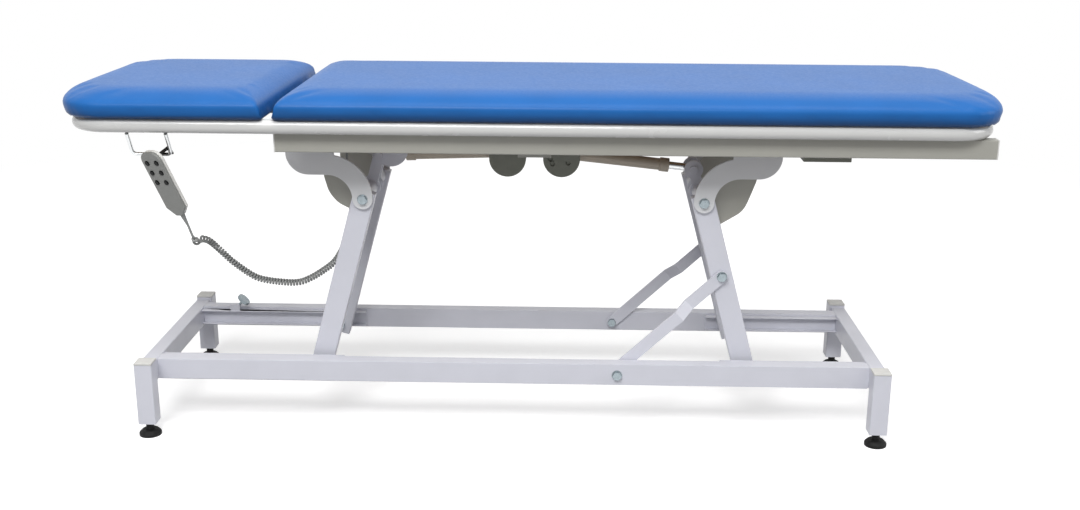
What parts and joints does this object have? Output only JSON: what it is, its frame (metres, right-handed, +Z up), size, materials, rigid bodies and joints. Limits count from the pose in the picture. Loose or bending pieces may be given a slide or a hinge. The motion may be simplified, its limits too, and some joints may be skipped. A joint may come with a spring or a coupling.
{
  "type": "electric examination couch",
  "caption": "Height-adjustable padded examination couch: a split blue cushion top on crossed lift legs that roll in a floor frame, with a corded hand control.",
  "frame": {"origin": "middle of the floor area under the cushions, on the floor", "axes": "+X to the foot end, -Y to the side the handset hangs on, +Z up"},
  "size_m": [2, 0.62, 0.8],
  "materials": {
    "frame_white": "white powder coat, semi-gloss",
    "frame_grey": "light grey powder coat, semi-gloss",
    "tube_white": "white enamel, glossy",
    "zinc": "zinc plated",
    "steel": "ground steel",
    "black_rubber": "matt black rubber",
    "cap_white": "light plastic",
    "upholstery": "blue artificial leather, a coated fabric with a soft sheen",
    "plywood": "birch plywood",
    "housing_grey": "moulded grey",
    "actuator_grey": "moulded warm grey",
    "handset_grey": "moulded grey",
    "button_black": "silicone rubber keys",
    "cord_grey": "soft PVC cord"
  },
  "bodies": {
    "floor_frame": {"base_posts": "frame_white", "post_caps": "cap_white", "base_rails": "frame_white", "roller_tracks": "frame_white", "link_base_bolts": "zinc"},
    "foot_1": {"foot_head_near": "black_rubber"},
    "foot_2": {"foot_head_far": "black_rubber"},
    "foot_3": {"foot_end_near": "black_rubber"},
    "foot_4": {"foot_end_far": "black_rubber"},
    "knob": {"clamp_knob": "zinc"},
    "link_bars": {"links": "frame_white", "link_bolts": "zinc"},
    "right_carriage": {"right_axles": "zinc"},
    "right_roller_pair": {"right_rollers": "steel"},
    "right_leg_frame": {"right_legs": "frame_white", "right_leg_bushes": "steel", "right_crank_tube": "frame_white"},
    "top_frame": {"frame_tubes": "tube_white", "frame_corner_bends": "tube_white", "side_rails": "frame_grey", "rail_end_caps": "cap_white", "bearer_rails": "frame_white", "cross_bars": "frame_white", "actuator_lugs": "frame_grey", "pivot_plates": "frame_grey", "guard_plates": "frame_grey", "pivot_bolts": "zinc", "main_board": "plywood", "main_cushion": "upholstery", "control_box": "housing_grey", "hinge_fixed_leaves": "zinc", "handset_hanger": "zinc", "handset_front": "handset_grey", "handset_back": "cap_white", "handset_sleeve": "black_rubber", "handset_cord": "cord_grey", "cord_lead": "cord_grey", "handset_gland": "black_rubber"},
    "left_leg_frame": {"left_legs": "frame_white", "left_leg_bushes": "steel", "left_crank_tube": "frame_white", "left_axles": "zinc"},
    "left_roller_pair": {"left_rollers": "steel"},
    "head_section": {"head_board": "plywood", "head_cushion": "upholstery", "hinge_moving_leaves": "zinc"},
    "right_actuator": {"right_gear_housing": "housing_grey", "right_motor": "housing_grey", "right_outer_tube": "actuator_grey"},
    "right_piston": {"right_rod": "steel"},
    "left_actuator": {"left_gear_housing": "housing_grey", "left_motor": "housing_grey", "left_outer_tube": "actuator_grey"},
    "left_piston": {"left_rod": "steel"},
    "key_1": {"button_1": "button_black"},
    "key_2": {"button_2": "button_black"},
    "key_3": {"button_3": "button_black"},
    "key_4": {"button_4": "button_black"},
    "key_5": {"button_5": "button_black"},
    "key_6": {"button_6": "button_black"}
  },
  "joints": [
    {"name": "lift", "type": "hinge", "parent": "right_carriage", "child": "right_leg_frame", "pos_m": [0.49829, 0, 0.1465], "axis": [0, 1, 0], "range_deg": [-49.6, 0]},
    {"name": "carriage_slide", "type": "slide", "parent": "floor_frame", "child": "right_carriage", "axis": [1, 0, 0], "range_m": [0, 0.2165]},
    {"name": "top_level", "type": "hinge", "parent": "right_leg_frame", "child": "top_frame", "pos_m": [0.391, 0, 0.536], "axis": [0, 1, 0], "range_deg": [0, 49.61]},
    {"name": "head_side_legs", "type": "hinge", "parent": "top_frame", "child": "left_leg_frame", "pos_m": [-0.379, 0, 0.536], "axis": [0, 1, 0], "range_deg": [0, 49.61]},
    {"name": "links_pivot", "type": "hinge", "parent": "floor_frame", "child": "link_bars", "pos_m": [0.202, 0, 0.144], "axis": [0, 1, 0], "range_deg": [0, 25.33]},
    {"name": "foot_side_rollers", "type": "hinge", "parent": "right_carriage", "child": "right_roller_pair", "pos_m": [0.49829, 0, 0.1465], "axis": [0, 1, 0], "range_deg": [0, 820]},
    {"name": "head_side_rollers", "type": "hinge", "parent": "left_leg_frame", "child": "left_roller_pair", "pos_m": [-0.48629, 0, 0.1465], "axis": [0, 1, 0], "range_deg": [-1190, 0]},
    {"name": "right_actuator_pivot", "type": "hinge", "parent": "top_frame", "child": "right_actuator", "pos_m": [0.036, 0, 0.622], "axis": [0, 1, 0], "range_deg": [0, 5.77]},
    {"name": "right_stroke", "type": "slide", "parent": "right_actuator", "child": "right_piston", "axis": [0.9945, 0, -0.1045], "range_m": [-0.0287, 0]},
    {"name": "left_actuator_pivot", "type": "hinge", "parent": "top_frame", "child": "left_actuator", "pos_m": [-0.024, 0, 0.622], "axis": [0, 1, 0], "range_deg": [-8.74, 0]},
    {"name": "left_stroke", "type": "slide", "parent": "left_actuator", "child": "left_piston", "axis": [-0.9995, 0, -0.0323], "range_m": [-0.0453, 0]},
    {"name": "head_tilt", "type": "hinge", "parent": "top_frame", "child": "head_section", "pos_m": [-0.55, 0, 0.736], "axis": [0, 1, 0], "range_deg": [0, 30]},
    {"name": "foot_1_height", "type": "slide", "parent": "floor_frame", "child": "foot_1", "axis": [0, 0, -1], "range_m": [0, 0.012]},
    {"name": "foot_2_height", "type": "slide", "parent": "floor_frame", "child": "foot_2", "axis": [0, 0, -1], "range_m": [0, 0.012]},
    {"name": "foot_3_height", "type": "slide", "parent": "floor_frame", "child": "foot_3", "axis": [0, 0, -1], "range_m": [0, 0.012]},
    {"name": "foot_4_height", "type": "slide", "parent": "floor_frame", "child": "foot_4", "axis": [0, 0, -1], "range_m": [0, 0.012]},
    {"name": "clamp_turn", "type": "hinge", "parent": "floor_frame", "child": "knob", "pos_m": [-0.772, 0.163, 0.165], "axis": [0.682, 0, 0.7314], "range_deg": [-90, 90]},
    {"name": "press_1", "type": "slide", "parent": "top_frame", "child": "key_1", "axis": [0.4419, 0.8173, 0.3697], "range_m": [0, 0.0015], "stiffness_N_per_m": 300, "springref_m": -0.0005},
    {"name": "press_2", "type": "slide", "parent": "top_frame", "child": "key_2", "axis": [0.4419, 0.8173, 0.3697], "range_m": [0, 0.0015], "stiffness_N_per_m": 300, "springref_m": -0.0005},
    {"name": "press_3", "type": "slide", "parent": "top_frame", "child": "key_3", "axis": [0.4419, 0.8173, 0.3697], "range_m": [0, 0.0015], "stiffness_N_per_m": 300, "springref_m": -0.0005},
    {"name": "press_4", "type": "slide", "parent": "top_frame", "child": "key_4", "axis": [0.4419, 0.8173, 0.3697], "range_m": [0, 0.0015], "stiffness_N_per_m": 300, "springref_m": -0.0005},
    {"name": "press_5", "type": "slide", "parent": "top_frame", "child": "key_5", "axis": [0.4419, 0.8173, 0.3697], "range_m": [0, 0.0015], "stiffness_N_per_m": 300, "springref_m": -0.0005},
    {"name": "press_6", "type": "slide", "parent": "top_frame", "child": "key_6", "axis": [0.4419, 0.8173, 0.3697], "range_m": [0, 0.0015], "stiffness_N_per_m": 300, "springref_m": -0.0005}
  ],
  "couplings": [
    {"joint": "carriage_slide", "follows": "lift", "m_per_rad": -0.24956},
    {"joint": "top_level", "follows": "lift", "ratio": -1},
    {"joint": "head_side_legs", "follows": "lift", "ratio": -1},
    {"joint": "links_pivot", "follows": "lift", "ratio": -0.51043},
    {"joint": "foot_side_rollers", "follows": "lift", "ratio": -16.418},
    {"joint": "head_side_rollers", "follows": "lift", "ratio": 22.928},
    {"joint": "right_actuator_pivot", "follows": "lift", "ratio": -0.11586},
    {"joint": "right_stroke", "follows": "lift", "m_per_rad": 0.033052},
    {"joint": "left_actuator_pivot", "follows": "lift", "ratio": 0.17573},
    {"joint": "left_stroke", "follows": "lift", "m_per_rad": 0.052269}
  ]
}
